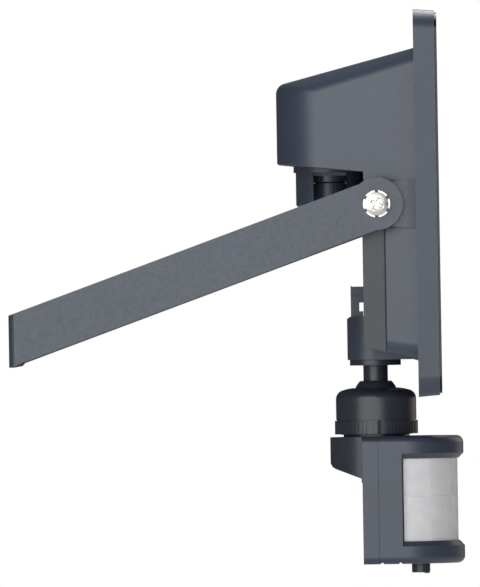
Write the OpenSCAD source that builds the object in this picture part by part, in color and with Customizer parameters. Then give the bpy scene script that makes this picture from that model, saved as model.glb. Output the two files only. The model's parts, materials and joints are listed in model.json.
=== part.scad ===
// Wall-mounted LED flood light with a rear battery bay and a motion sensor on a ball joint.
// Millimetres. +X is the way the light shines, +Z is up, and the origin is the middle of the
// wall plate's back face. Everything that tilts is drawn from the tilt pivot as its own origin.

/* [Wall bracket] */
// Distance from the wall to the tilt pivot
arm_reach = 169; // [160:1:178]
// Rise of the arms towards the pivot, in degrees
arm_slope = 19.6; // [15:0.1:25]
// Width of the bracket's strip
arm_w = 22.4; // [21:0.1:23]
// Radius of the arms' round ends
arm_end_r = 12; // [11.6:0.1:12.2]
// Sheet thickness of the bracket
arm_t = 2.5; // [2:0.1:3]
// Radius of the central wall bolt hole
bolt_r = 4.25; // [3:0.05:4.5]
// Distance between the two wall slots
slot_gap = 100; // [80:1:120]

/* [Front] */
// Width of the front frame
frame_w = 220; // [216:1:226]
// Height of the front frame
frame_h = 177; // [176:0.5:180]
// Corner radius of the front frame
frame_r = 10; // [9:0.5:12]
// Width of the black border in front of the glass
border = 13; // [12:0.5:15]

/* [Rear housing] */
// Taper of the housing's faces, in degrees
draft = 15; // [14:0.5:16]
// Wall thickness of the mouldings
wall = 3; // [2.5:0.1:3]
// Radius of the battery bay's upright back corners
bay_r = 26; // [22:1:28]
// Number of cooling fins
fin_count = 17; // [9:2:19]

/* [Motion sensor] */
// Radius of the ball
ball_r = 10.3; // [10:0.05:10.4]
// Radius of the clamp nut's smooth dome
dome_r = 18.5; // [18.3:0.1:18.8]
// Width of the sensor head
head_w = 54; // [52:0.5:55]
// Radius of the lens
lens_r = 24.2; // [23.6:0.1:24.4]
// Number of ribs in each quarter of the clamp nut
rib_count = 11; // [7:1:13]

/* [Hidden] */
$fn = 64;

arm_rise = arm_reach * tan(arm_slope);
gap = 0.05;          // running gap between faces that slide or touch

// Stations along X, from the tilt pivot
back_x = 17.8;       // back of the front frame
floor_x = 3.3;       // back of the housing below the bay
sink_x = -6.8;       // back of the cooling fins
bay_x = -45.4;       // back of the battery bay
tray_x = 9.5;
board_x = 11;
ledge_x = 21;
glass_x = 24.6;
trim_x = 27.6;
front_x = 28.6;

// Half sizes of the tapered housing where it meets the frame
rim_side = 17.2;
rim_top = 16.7;
body_w = frame_w / 2 - rim_side;
body_h = frame_h / 2 - rim_top;
roof_z = body_h - 0.8; // top of the battery bay at the frame

// Across the width
pad_y = body_w + 1.2;
pad_in = body_w - 6.5;
arm_in = pad_y + 0.5;
arm_out = arm_in + arm_t;
bend_r = 4;

// Heights above the pivot
bay_low = 11;
guard_low = -0.4;
bay_floor = [[bay_x, 19.2], [-5.95, 15]];
socket_at = [-21.6, 15.7];

// The ball joint and the sensor head
joint_at = [-2, -88.5];
flange_z = -74;
block_z = -71.4;
nut_top = -84.4;
nut_mid = -99.1;
nut_low = -105.6;
head_top = -106.7;
head_low = -165.5;
head_back = -8.8;
seam_x = -1.4;
head_front = 37.9;
lip_r = head_w / 2;
lip_x = head_front - lip_r;
lens_z = [-154.9, -117.3];
knob_x = 17.5;
knob_gap = 13;

dark = [0.19, 0.20, 0.22];
grey = [0.36, 0.38, 0.42];
black = [0.06, 0.06, 0.07];
steel = [0.80, 0.80, 0.80];

// ---------- Shared shapes ----------

module from_pivot() { translate([arm_reach, 0, arm_rise]) children(); }

module both_sides() {
    children();
    mirror([0, 1, 0]) children();
}

module rounded_rect(w, h, r) {
    square([w - 2 * r, h], center = true);
    square([w, h - 2 * r], center = true);
    for (sy = [-1, 1], sz = [-1, 1])
        translate([sy * (w / 2 - r), sz * (h / 2 - r)]) circle(r);
}

// A plate that faces along X
module panel(x0, x1, w, h, r) {
    translate([x0, 0, 0]) rotate([90, 0, 90]) linear_extrude(x1 - x0) rounded_rect(w, h, r);
}

// A ring between two such plates
module panel_ring(x0, x1, w, h, r, band) {
    difference() {
        panel(x0, x1, w, h, r);
        panel(x0 - 1, x1 + 1, w - 2 * band, h - 2 * band, max(1, r - band));
    }
}

module rod_x(x0, x1, r) { translate([x0, 0, 0]) rotate([0, 90, 0]) cylinder(h = x1 - x0, r = r); }
module rod_y(y0, y1, r) { translate([0, y0, 0]) rotate([-90, 0, 0]) cylinder(h = y1 - y0, r = r); }
module rod_z(z0, z1, r) { translate([0, 0, z0]) cylinder(h = z1 - z0, r = r); }

// An outline in X and Z, drawn across the width
module across(w) { rotate([90, 0, 0]) linear_extrude(w, center = true) children(); }

module block(x, y, z) { translate([x[0], y[0], z[0]]) cube([x[1] - x[0], y[1] - y[0], z[1] - z[0]]); }

// A pan-head screw with a cross recess. Its head is above z = 0 and its shank below.
module cross_screw(shank_r, head_r, head_h, length, turn = 0) {
    blade = head_r * 0.26;
    difference() {
        union() {
            intersection() {
                rod_z(0, head_h, head_r);
                translate([0, 0, head_h - head_r * 3.4]) sphere(head_r * 3.4);
            }
            rod_z(-length, 0.01, shank_r);
        }
        rotate(turn) translate([0, 0, head_h * 0.42]) for (a = [0, 90])
            rotate(a) translate([-head_r * 0.56, -blade / 2, 0]) cube([head_r * 1.12, blade, head_h]);
    }
}

// A countersunk screw, flush with z = 0 and pointing down
module flush_screw(shank_r, head_r, length) {
    difference() {
        union() {
            translate([0, 0, -head_r * 0.7]) cylinder(h = head_r * 0.7, r1 = shank_r, r2 = head_r);
            rod_z(-length, -head_r * 0.7 + 0.01, shank_r);
        }
        for (a = [0, 90]) rotate(a + 20)
            translate([-head_r * 0.6, -head_r * 0.14, -head_r * 0.4])
                cube([head_r * 1.2, head_r * 0.28, head_r]);
    }
}

// ---------- Wall bracket ----------

module strip_outline() {
    half = arm_w / 2;
    plate = half / cos(arm_slope);
    lift = [half * sin(arm_slope), half * cos(arm_slope)];
    polygon([
        [0, -plate], [arm_t, -plate], [arm_t + 1.3, 1.3 * tan(arm_slope) + 0.9 - plate],
        [arm_reach + lift[0], arm_rise - lift[1]], [arm_reach - lift[0], arm_rise + lift[1]],
        [0, plate]
    ]);
    translate([arm_reach, arm_rise]) circle(arm_end_r);
}

// The folded strip seen from above: a U with rounded bends
module strip_from_above(side, r) {
    length = arm_reach + 40;
    hull_w = 2 * side;
    translate([length / 2, 0]) square([length - 2 * r, hull_w], center = true);
    translate([length / 2, 0]) square([length, hull_w - 2 * r], center = true);
    for (s = [-1, 1]) translate([r, s * (side - r)]) circle(r);
}

module wall_bracket() {
    color(grey) difference() {
        intersection() {
            across(3 * frame_w) strip_outline();
            translate([0, 0, -40]) linear_extrude(160) difference() {
                strip_from_above(arm_out, bend_r);
                translate([arm_t, 0]) strip_from_above(arm_in, bend_r - arm_t);
            }
        }
        translate([arm_reach, 0, arm_rise]) rod_y(-frame_w, frame_w, 2.55);
        rod_x(-1, arm_t + 1, bolt_r);
        for (s = [-1, 1]) translate([0, s * slot_gap / 2, 0]) {
            for (e = [-1, 1]) translate([0, e * 4, 0]) rod_x(-1, arm_t + 1, 3.25);
            block([-1, arm_t + 1], [-4, 4], [-3.25, 3.25]);
        }
    }
}

// ---------- Tilt pivot ----------

screw_seat = arm_out + 0.9;

module friction_washers() {
    color(black) from_pivot() both_sides() difference() {
        rod_y(pad_y, arm_in - gap, 9);
        rod_y(pad_y - 1, arm_in + 1, 3);
    }
}

module pivot_screws() {
    color(steel) from_pivot() both_sides()
        translate([0, screw_seat, 0]) rotate([-90, 0, 0]) cross_screw(2.5, 5.35, 3.7, 10.5, 27);
}

module star_washers() {
    color(steel) from_pivot() both_sides() difference() {
        rod_y(arm_out + gap, screw_seat, 6.25);
        rod_y(arm_out - 1, screw_seat + 1, 2.6);
        for (i = [0:5]) rotate([0, 30 + 60 * i, 0]) block([4.9, 7], [arm_out - 1, arm_out + 2], [-0.8, 0.8]);
    }
}

module pivot_inserts() {
    color("goldenrod") from_pivot() both_sides() difference() {
        union() {
            rod_y(pad_in + 0.7, pad_y, 3.8);
            rod_y(pad_y - 1.2, pad_y, 4.6);
        }
        rod_y(pad_in, pad_y + 1, 2.55);
    }
}

// ---------- Rear housing ----------

function body_side(x) = (back_x - x) * tan(draft);

// Four discs at the corners of the tapered body at one station
module body_section(x, inset, r) {
    w = body_w - body_side(x) - inset;
    h = body_h - body_side(x) - inset;
    for (sy = [-1, 1], sz = [-1, 1])
        translate([x, sy * (w - r), sz * (h - r)]) rod_x(0, 0.01, r);
}

module body_taper(inset, to_x, corner) {
    hull() {
        body_section(back_x, inset, corner + 2);
        body_section(to_x + 0.5, inset, corner);
        body_section(to_x, inset + 0.5, corner - 0.4);
    }
}

// The bay's upright back corners are discs with a rounded upper edge
module bay_taper(inset, low) {
    r = bay_r - inset;
    edge = 5 - inset * 0.5;
    xc = bay_x + bay_r;
    yc = body_w - (bay_r + (back_x - xc) * sin(draft)) / cos(draft);
    top = body_h - (back_x - bay_x - edge) * tan(draft) - edge / cos(draft) + edge - inset;
    hull() {
        for (s = [-1, 1]) translate([xc, s * yc, 0]) rotate_extrude() {
            translate([0, low]) square([r, top - edge - low]);
            translate([0, low]) square([r - edge, top - low]);
            translate([r - edge, top - edge]) circle(edge, $fn = 32);
        }
        for (s = [-1, 1]) {
            translate([back_x - 0.01, s * (body_w - inset - 8), roof_z - inset - 8]) rod_x(0, 0.01, 8);
            translate([back_x - 0.01, s * (body_w - inset - 1), low]) cube([0.01, 1, 1]);
            if (s < 0) translate([back_x - 0.01, -body_w + inset, low]) cube([0.01, 1, 1]);
        }
    }
}

module below_bay(drop) {
    across(3 * frame_w) polygon([
        [bay_x - 20, -40], [bay_floor[1][0] + drop, -40], [bay_floor[1][0] + drop, bay_floor[1][1] + drop],
        [bay_floor[0][0], bay_floor[0][1] + drop], [bay_x - 20, bay_floor[0][1] + drop + 2]
    ]);
}

module pad_outline() {
    circle(11.2);
    polygon([[0, 8.7], [back_x, 11.4], [back_x, -11.4], [0, -9.6]]);
}

post_at = [78, 54];

// A shroud round the power socket, open at both sides
module socket_guard() {
    outer = 15.7;
    inner = outer - 2.2;
    round_r = 1.1;
    translate([socket_at[0], 0, 0]) difference() {
        rotate_extrude() {
            translate([inner, guard_low + round_r]) square([outer - inner, 18.5 - guard_low - round_r]);
            translate([inner + round_r, guard_low + round_r]) circle(round_r);
            translate([inner, 15.2]) square([outer + 1 - inner, 3.3]);
        }
        block([-7.6, 7.6], [-20, 20], [guard_low - 1, 15.2]);
    }
}

module rear_housing() {
    flange_in = 2 * (body_w - wall - 1);
    flange_high = 2 * (body_h - wall - 1);
    color(grey) from_pivot() difference() {
        union() {
            difference() {
                union() {
                    intersection() {
                        body_taper(0, floor_x, 6);
                        block([0, 30], [-frame_w, frame_w], [-frame_h, bay_low + 1]);
                    }
                    difference() {
                        bay_taper(0, bay_low);
                        below_bay(0);
                    }
                    panel(back_x, ledge_x - 0.05, frame_w - 4.4, frame_h - 4.4, frame_r - 2.2);
                    block([-30, -13.2], [-9, 9], [socket_at[1], 19]);
                    socket_guard();
                }
                intersection() {
                    body_taper(wall, floor_x + wall, 3.5);
                    block([0, 30], [-frame_w, frame_w], [-frame_h, bay_low + 8]);
                }
                difference() {
                    bay_taper(wall, bay_low + wall);
                    below_bay(wall);
                    block([-31, -12.2], [-10, 10], [0, 19.6]);
                }
                panel(back_x - 0.5, ledge_x + 1, flange_in, flange_high, 9);
            }
            both_sides() translate([0, pad_in, 0]) rotate([90, 0, 0]) mirror([0, 0, 1])
                linear_extrude(pad_y - pad_in) pad_outline();
            both_sides() {
                block([floor_x + 1, tray_x], [post_at[0] - 5, post_at[0] + 9], [post_at[1] - 4, post_at[1] + 4]);
                translate([0, post_at[0], -post_at[1]]) rod_x(floor_x + 1, tray_x, 5);
                translate([mount_screw_x, 8, 0]) rod_z(-67.4, -60, 3.6);
            }
        }
        // windows, bores and grooves
        panel_ring(ledge_x - 1, ledge_x + 1, frame_w - 25, frame_h - 25, 9, 3.2);
        translate([0, 0, -11]) block([floor_x - 1, floor_x + wall + 0.5], [-52, 52], [-22, 22]);
        both_sides() {
            rod_y(pad_in + 0.7, pad_y + 1, 3.85);
            rod_y(pad_y - 1.25, pad_y + 1, 4.65);
            for (s = [-1, 1]) translate([0, post_at[0], s * post_at[1]]) rod_x(tray_x - 5, tray_x + 1, 1.25);
            for (at = sink_screw_at) translate([0, at[0], at[1]]) rod_x(floor_x - 1, floor_x + wall + 1, 1.8);
        }
        translate([socket_at[0], 0, 0]) rod_z(socket_at[1] - 1, 20.5, 6.05);
        for (at = frame_screw_at) translate([back_x, at[0], at[1]]) rotate([0, -90, 0]) {
            translate([0, 0, -2.15]) cylinder(h = 2.2, r1 = 1.6, r2 = 3.15);
            rod_z(-5, 1, 1.6);
        }
        translate([socket_at[0], 0, 0]) rod_z(19.65, 25, 9);
        for (y = [-8, 8]) translate([mount_screw_x, y, 0]) rod_z(-80, -62, 1.75);
    }
}

// ---------- Cooling fins ----------

sink_screw_at = [[72, -2], [72, -54], [26, -54]];
sink_half = body_w - 6.8;
sink_low = -(body_h - body_side(floor_x));
lug_screw_z = -40;

module sink_outline() {
    rise = tan(draft);
    bottom = sink_low + 0.05;
    polygon([
        [floor_x - gap, bay_low - 0.1], [sink_x + 1, bay_low - 0.1], [sink_x, bay_low - 1.1],
        [sink_x, bottom + 4.6], [sink_x + 0.5, bottom + 3.6], [sink_x + 1.9, bottom + (floor_x - sink_x - 1.9) * rise],
        [floor_x - gap, bottom]
    ]);
}

module heat_sink() {
    plate = 3.5;
    pitch = 2 * (sink_half - 1) / (fin_count - 1);
    color(dark) from_pivot() difference() {
        union() {
            intersection() {
                across(2 * sink_half) sink_outline();
                union() {
                    block([floor_x - plate, floor_x], [-sink_half, sink_half], [-90, 30]);
                    for (i = [0:fin_count - 1])
                        translate([0, -sink_half + 1 + i * pitch, 0])
                            block([sink_x - 1, floor_x - 1], [-1, 1], [-90, 30]);
                    for (at = concat(sink_screw_at, [for (p = sink_screw_at) [-p[0], p[1]]]))
                        translate([0, at[0], at[1]]) rod_x(floor_x - plate - 2.5, floor_x - 1, 5);
                    translate([0, 0, lug_screw_z]) rod_x(sink_x, floor_x - 1, 4);
                }
            }
            translate([0, 0, -11]) block([floor_x - 1, tray_x - 0.1], [-51.5, 51.5], [-21.5, 21.5]);
        }
        for (at = concat(sink_screw_at, [for (p = sink_screw_at) [-p[0], p[1]]]))
            translate([0, at[0], at[1]]) {
                rod_x(sink_x - 5, floor_x + 5, 1.8);
                rod_x(sink_x - 5, floor_x - plate - 2.5, 5);
            }
        translate([0, 0, lug_screw_z]) rod_x(sink_x - 1, floor_x - 1, 1.55);
        block([sink_x - 1, -4.2], [-17.5, 17.5], [guard_low - 1, bay_low + 1]);
    }
}

module heat_sink_screws() {
    color(steel) from_pivot() both_sides() for (at = sink_screw_at)
        translate([floor_x - 6.05, at[0], at[1]]) rotate([0, -90, 0]) cross_screw(1.7, 3.2, 2, 8.5, 15);
}

// ---------- Front frame, trim and glass ----------

frame_screw_at = concat(
    [for (sy = [-1, 1], sz = [-1, 1]) [sy * (frame_w / 2 - 10.5), sz * (frame_h / 2 - 10.5)]],
    [for (s = [-1, 1]) [0, s * (frame_h / 2 - 9.6)]],
    [for (s = [-1, 1]) [s * (frame_w / 2 - 9.6), 0]]
);
glass_w = frame_w - 2 * border + 2;
glass_h = frame_h - 2 * border + 2;

module front_frame() {
    lean = 0.8;
    color(grey) from_pivot() difference() {
        hull() for (sy = [-1, 1], sz = [-1, 1])
            translate([back_x, sy * (frame_w / 2 - frame_r), sz * (frame_h / 2 - frame_r)])
                rotate([0, 90, 0]) cylinder(h = trim_x - back_x, r1 = frame_r, r2 = frame_r - lean);
        panel(back_x - 1, ledge_x, frame_w - 4, frame_h - 4, frame_r - 2);
        panel(glass_x - 1, trim_x + 1, glass_w + 0.4, glass_h + 0.4, 6.2);
        panel(back_x, trim_x, glass_w - 8, glass_h - 8, 4);
        for (at = frame_screw_at) translate([0, at[0], at[1]]) rod_x(ledge_x - 1, ledge_x + 5, 1.55);
    }
}

module frame_seal() {
    color(black) from_pivot() panel_ring(ledge_x - 1 + gap, ledge_x, frame_w - 25.2, frame_h - 25.2, 8.9, 3);
}

module frame_screws() {
    color(steel) from_pivot() for (at = frame_screw_at)
        translate([back_x + 0.1, at[0], at[1]]) rotate([0, -90, 0]) flush_screw(1.5, 3, 7.6);
}

module front_trim() {
    color(black) from_pivot() panel_ring(trim_x, front_x, frame_w - 3.4, frame_h - 3.4, frame_r - 1.7, border - 1.7);
}

module glass_gasket() {
    color(black) from_pivot() panel_ring(glass_x - 1 + gap, glass_x - gap, glass_w, glass_h, 6, 4);
}

module front_glass() {
    color([0.8, 0.9, 0.9, 0.35]) from_pivot() panel(glass_x, trim_x - gap, glass_w, glass_h, 6);
}

// ---------- Lamp interior ----------

led_columns = 8;
led_rows = 5;
led_pitch = 12;

module pan_shape(x0, x1, small, large) {
    hull() {
        panel(x0, x0 + 0.01, small[0], small[1], 6);
        panel(x1 - 0.01, x1, large[0], large[1], 4.5);
    }
}

module reflector() {
    x0 = board_x + 1.7;
    x1 = glass_x - 1.2;
    small = [led_columns * led_pitch + 14, led_rows * led_pitch + 14];
    large = [glass_w - 10, glass_h - 10];
    color([0.86, 0.87, 0.88]) from_pivot() difference() {
        pan_shape(x0, x1, small, large);
        pan_shape(x0 - 0.05, x1 + 0.05, small - [2.4, 2.4], large - [2.4, 2.4]);
    }
}

module led_tray() {
    color([0.7, 0.71, 0.72]) from_pivot() difference() {
        panel(tray_x, board_x, 2 * (post_at[0] + 4), 2 * (post_at[1] + 6), 6);
        both_sides() for (s = [-1, 1]) translate([0, post_at[0], s * post_at[1]])
            rod_x(tray_x - 1, board_x + 1, 1.8);
        for (at = spacer_at) translate([0, at[0], at[1]]) rod_x(tray_x - 1, board_x + 1, 1.3);
        for (y = [-3, 3]) translate([0, y, 37.5]) rod_x(tray_x - 1, board_x + 1, 1.6);
    }
}

module tray_screws() {
    color(steel) from_pivot() both_sides() for (s = [-1, 1])
        translate([board_x, post_at[0], s * post_at[1]]) rotate([0, 90, 0]) cross_screw(1.2, 3, 2, 5.5, 40);
}

module led_board() {
    color([0.9, 0.9, 0.88]) from_pivot() difference() {
        panel(board_x, board_x + 1.6, led_columns * led_pitch + 10, led_rows * led_pitch + 10, 3);
        for (y = [-3, 3]) translate([0, y, 33]) rod_x(board_x - 1, board_x + 3, 0.8);
    }
}

module led_chips() {
    color([0.95, 0.8, 0.3]) from_pivot() for (i = [0:led_columns - 1], j = [0:led_rows - 1])
        translate([board_x + 1.6, (i - (led_columns - 1) / 2) * led_pitch, (j - (led_rows - 1) / 2) * led_pitch])
            block([0, 0.8], [-1.75, 1.75], [-1.4, 1.4]);
}

spacer_at = [[-44, 28], [44, 28], [-44, 58], [44, 58]];
pcb_x = 4;

module control_board() {
    color([0.05, 0.3, 0.12]) from_pivot() difference() {
        translate([0, 0, 43]) panel(pcb_x, pcb_x + 1.6, 96, 38, 2);
        for (at = spacer_at) translate([0, at[0], at[1]]) rod_x(pcb_x - 1, pcb_x + 3, 1.3);
    }
}

module board_spacers() {
    color("goldenrod") from_pivot() for (at = spacer_at) translate([0, at[0], at[1]]) difference() {
        rod_x(pcb_x + 1.6, tray_x, 2.5);
        rod_x(pcb_x, tray_x + 1, 1.3);
    }
}

module board_screws() {
    color(steel) from_pivot() for (at = spacer_at)
        translate([pcb_x, at[0], at[1]]) rotate([0, -90, 0]) cross_screw(1.2, 2.4, 1.6, 6.5, 10);
}

module board_parts() {
    color([0.1, 0.1, 0.12]) from_pivot() {
        for (y = [-30, -18]) translate([0, y, 48]) rod_x(pcb_x - 9, pcb_x, 4);
        translate([0, 26, 46]) difference() {
            rod_x(pcb_x - 5, pcb_x, 6.5);
            rod_x(pcb_x - 6, pcb_x + 1, 2.6);
        }
        block([pcb_x - 1.6, pcb_x], [-6, 4], [38, 48]);
        block([pcb_x - 2.4, pcb_x], [8, 14], [34, 38]);
        for (y = [-30, 0, 30]) block([pcb_x - 6, pcb_x], [y - 5, y + 5], [28, 35]);
    }
}

cell_at = [-24, 38];
cell_r = 9.2;

module battery_cells() {
    color([0.15, 0.35, 0.6]) from_pivot() both_sides() translate([cell_at[0], 0, cell_at[1]]) {
        rod_y(1.2, 64.2, cell_r);
        rod_y(64.2, 65.6, 3.2);
    }
}

module battery_holder() {
    half = 67.4;
    color(black) from_pivot() difference() {
        block([cell_at[0] - 11, cell_at[0] + 11], [-half, half], [cell_at[1] - 11.5, cell_at[1] - 0.5]);
        both_sides() translate([cell_at[0], 0, cell_at[1]]) rod_y(1.1, half - 1.5, cell_r + gap);
        translate([socket_at[0], 0, 0]) rod_z(0, cell_at[1] - 8, 9);
    }
}

// A flat lead, as thick as t, that steps from one height to another on its way back
module flat_lead(from, to, turn_x, width, t) {
    across(width) polygon([
        [from[0], from[1]], [turn_x, from[1]], [turn_x, to[1]], [to[0], to[1]], [to[0], to[1] - t],
        [turn_x + t, to[1] - t], [turn_x + t, from[1] - t], [from[0], from[1] - t]
    ]);
}

module panel_lead() {
    color([0.7, 0.1, 0.1]) from_pivot() {
        flat_lead([pcb_x - 6.05, 32], [socket_at[0] - 3, 25.2], -8, 8, 1.2);
        for (s = [-1, 1]) block([socket_at[0] + 3 * s - 0.6, socket_at[0] + 3 * s + 0.6], [-3.9, 3.9], [21.55, 24.1]);
    }
}

module battery_lead() {
    color([0.7, 0.1, 0.1]) from_pivot() translate([0, -30, 0])
        flat_lead([pcb_x - 6.05, 32], [cell_at[0] + 11.05, 30], -8, 6, 1.2);
}

// ---------- Power socket for the panel's plug ----------

module socket_body() {
    color(grey) from_pivot() translate([socket_at[0], 0, socket_at[1]]) difference() {
        union() {
            block([-7.9, 7.9], [-7.9, 7.9], [-2, 0]);
            rod_z(-4.8, -1.9, 7.9);
            rod_z(-16, -4.7, 5.6);
            rod_z(-0.1, 5.2, 6);
        }
        rod_z(-17, -6, 4.2);
        for (s = [-1, 1]) translate([3 * s, 3 * s, 0]) rod_z(-7, 6, 0.9);
    }
}

module socket_pins() {
    color("goldenrod") from_pivot() for (s = [-1, 1])
        translate([socket_at[0] + 3 * s, 3 * s, 0]) translate([-1.2 * s, -1.2 * s, 0]) {
            translate([1.2 * s, 1.2 * s, 0]) rod_z(socket_at[1] - 5.5, socket_at[1] + 5.8, 0.85);
            translate([0.5 * s, 0.5 * s, 0]) rod_z(socket_at[1] - 13, socket_at[1] - 6.05, 0.8);
        }
}

module socket_nut() {
    color(black) from_pivot() translate([socket_at[0], 0, 0]) difference() {
        translate([0, 0, 19.7]) cylinder(h = 1.6, r = 8.2, $fn = 6);
        rod_z(19, 22, 6.05);
    }
}

cap_top = socket_at[1] - 4.9;

module cap_seal() {
    color(black) from_pivot() translate([socket_at[0], 0, 0]) difference() {
        union() {
            rod_z(cap_top - 1.6, cap_top, 6.6);
            rod_z(cap_top - 0.55, cap_top + gap, 7.75);
        }
        rod_z(cap_top - 3, cap_top + 1, 5.7);
    }
}

module socket_cap() {
    ribs = 36;
    low = cap_top - 17.5;
    color(dark) from_pivot() translate([socket_at[0], 0, 0]) difference() {
        union() {
            rod_z(low + 1.5, cap_top - 0.6, 7.3);
            translate([0, 0, low]) cylinder(h = 1.6, r1 = 6.1, r2 = 7.3);
            for (i = [0:ribs - 1]) rotate(i * 360 / ribs) block([6.8, 7.7], [-0.3, 0.3], [low + 2.4, cap_top - 0.65]);
        }
        rod_z(low + 4, cap_top + 1, 5.7);
        rod_z(cap_top - 1.7, cap_top + 1, 6.7);
    }
}

// ---------- Sensor mount under the lamp ----------

mount_half = 12.8;
mount_screw_x = 7.6;

module mount_from_above() {
    translate([joint_at[0], 0]) circle(mount_half);
    translate([joint_at[0], -mount_half]) square([back_x - 0.3 - joint_at[0], 2 * mount_half]);
}

function under_body(x) = -body_h + (back_x - x) * tan(draft);

module mount_side() {
    seam = 0.1;
    back = sink_x - seam;
    foot = under_body(floor_x);
    polygon([
        [-30, block_z - 1], [back_x, block_z - 1], [back_x, under_body(back_x) - seam],
        [sink_x + 1.9, under_body(sink_x + 1.9) - seam], [sink_x + 0.4, foot + 3.5], [back, foot + 4.6],
        [back, -51.4], [-13.2, -51.4], [-30, -62]
    ]);
}

module seal_side(x, drop) {
    polygon([
        [x[0], under_body(x[0]) - 0.05], [x[1], under_body(x[1]) - 0.05],
        [x[1], under_body(x[1]) - drop], [x[0], under_body(x[0]) - drop]
    ]);
}

module sensor_mount() {
    color(dark) from_pivot() difference() {
        union() {
            intersection() {
                translate([0, 0, block_z]) linear_extrude(30) mount_from_above();
                across(60) mount_side();
            }
            block([-12.9, -9], [-5.5, 5.5], [-56, -37.6]);
            block([-9.1, sink_x - 0.2], [-5.5, 5.5], [-45, -37.6]);
            block([-9.1, sink_x - 0.4], [-5.5, 5.5], [-54, -49]);
        }
        across(2 * mount_half - 3) seal_side([floor_x + 0.5, back_x - 4], 0.95);
        translate([0, 0, lug_screw_z]) rod_x(-20, 0, 1.6);
        translate([-12.95, 0, lug_screw_z]) rotate([0, 90, 0]) cylinder(h = 2.15, r1 = 3.05, r2 = 1.6);
        block([-13.5, -12.4], [-6, 6], [-41.9, -41.4]);
        both_sides() block([-14, 0], [5.15, 6], [-41.9, -41.4]);
        for (y = [-8, 8]) translate([mount_screw_x, y, block_z - 0.05]) {
            rod_z(0, 20, 1.8);
            cylinder(h = 2.2, r1 = 3.15, r2 = 1.8);
        }
        translate([joint_at[0], 0, 0]) rod_z(-80, -66, 4.05);
        translate([joint_at[0], 0, 0]) rod_z(-67, -40, 2.6);
    }
}

module mount_seal() {
    color(black) from_pivot() difference() {
        across(2 * mount_half - 4) seal_side([floor_x + 0.9, back_x - 4.5], 0.9);
        for (y = [-8, 8]) translate([mount_screw_x, y, 0]) rod_z(-80, -50, 2.6);
    }
}

module mount_screws() {
    color(steel) from_pivot() for (y = [-8, 8])
        translate([mount_screw_x, y, block_z + 0.02]) rotate([180, 0, 0]) flush_screw(1.7, 3, 9);
}

module lug_screw() {
    color(steel) from_pivot() translate([-12.88, 0, lug_screw_z]) rotate([0, -90, 0])
        flush_screw(1.5, 2.9, 12);
}

// ---------- Ball joint ----------

module at_joint() { translate([joint_at[0], 0, joint_at[1]]) children(); }

liner_in = ball_r + 0.05;
liner_out = ball_r + 0.75;
socket_r = ball_r + 0.8;

module ball_stud() {
    color(dark) from_pivot() difference() {
        union() {
            translate([joint_at[0], 0, 0]) {
                rod_z(flange_z, block_z - 0.02, 11.75);
                rod_z(joint_at[1] + 5, flange_z + 0.1, 5.65);
                rod_z(block_z - 0.1, -68.4, 4);
            }
            at_joint() intersection() {
                sphere(ball_r);
                rod_z(-8.2, 7.35, 20);
            }
        }
        translate([joint_at[0], 0, 0]) {
            rod_z(-100, -60, 2.5);
            translate([0, 0, -97]) cylinder(h = 8.5, r1 = 7, r2 = 2.5);
        }
    }
}

// A band of a hollow sphere between two latitudes
module sphere_band(r_in, r_out, low, high) {
    rotate_extrude() polygon(concat(
        [for (a = [low:(high - low) / 12:high]) [r_out * cos(a), r_out * sin(a)]],
        [for (a = [high:(low - high) / 12:low]) [r_in * cos(a), r_in * sin(a)]]
    ));
}

module ball_seat() { color(black) from_pivot() at_joint() sphere_band(liner_in, liner_out, -60, -22); }

module ball_ring() { color(black) from_pivot() at_joint() sphere_band(liner_in, liner_out, -5, 5); }

module clamp_nut() {
    rim_r = 18.75;
    step = 90 / (rib_count + 4);
    color(dark) from_pivot() translate([joint_at[0], 0, 0]) difference() {
        union() {
            rotate_extrude() polygon(concat(
                [[0, nut_mid], [0, nut_top], [11, nut_top], [13.2, nut_top - 0.35]],
                [for (a = [78:-13:0]) [dome_r - 4.2 + 4.2 * cos(a), nut_top - 5 + 4.2 * sin(a)]],
                [[dome_r, nut_mid]]
            ));
            rod_z(nut_low, nut_mid - 0.25, rim_r);
            rod_z(nut_mid - 0.3, nut_mid + 0.1, dome_r - 0.4);
            for (q = [0:3]) rotate(q * 90) {
                for (i = [0:rib_count - 1]) rotate((i + 2.5) * step)
                    block([rim_r - 1, rim_r + 0.35], [-0.42, 0.42], [nut_low + 0.3, nut_mid - 0.6]);
                intersection() {
                    translate([rim_r - 3.2, 0, 0]) rod_z(nut_low, nut_mid - 0.25, 3.6);
                    rod_z(nut_low, nut_mid, rim_r + 0.5);
                }
            }
        }
        translate([0, 0, joint_at[1]]) sphere(socket_r);
        rod_z(-120, neck_top + 0.3, 16.45);
        translate([0, 0, neck_top + 0.25]) cylinder(h = 4.5, r1 = 16.45, r2 = socket_r - 0.5);
    }
}

neck_top = -93.2;
neck_screw_z = -116;

module sensor_neck() {
    base = 21.4;
    slant = [[-40, -112], [-23.4, -118.9], [-22.5, -120.5], [-21.2, -121.4], [-9.2, -126], [-9.2, -200], [-40, -200]];
    color(dark) from_pivot() difference() {
        union() {
            translate([joint_at[0], 0, 0]) {
                rod_z(nut_low - 0.2, neck_top, 16.35);
                rod_z(-109.4, nut_low - 0.1, 15.2);
            }
            difference() {
                intersection() {
                    translate([joint_at[0], 0, 0]) rod_z(-128, -106.85, base);
                    block([-30, head_back - 0.1], [-22, 22], [-130, -100]);
                }
                across(80) polygon(slant);
            }
        }
        at_joint() sphere(socket_r);
        translate([joint_at[0], 0, 0]) rod_z(-112, -95, 4);
        for (y = [-10, 10]) translate([0, y, neck_screw_z]) rod_x(-16, 0, 1.45);
    }
}

module neck_screws() {
    color(steel) from_pivot() for (y = [-10, 10]) translate([seam_x - 2.4, y, neck_screw_z])
        rotate([0, 90, 0]) cross_screw(1.4, 2.8, 1.6, 11, 35);
}

// ---------- Sensor head ----------

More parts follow.
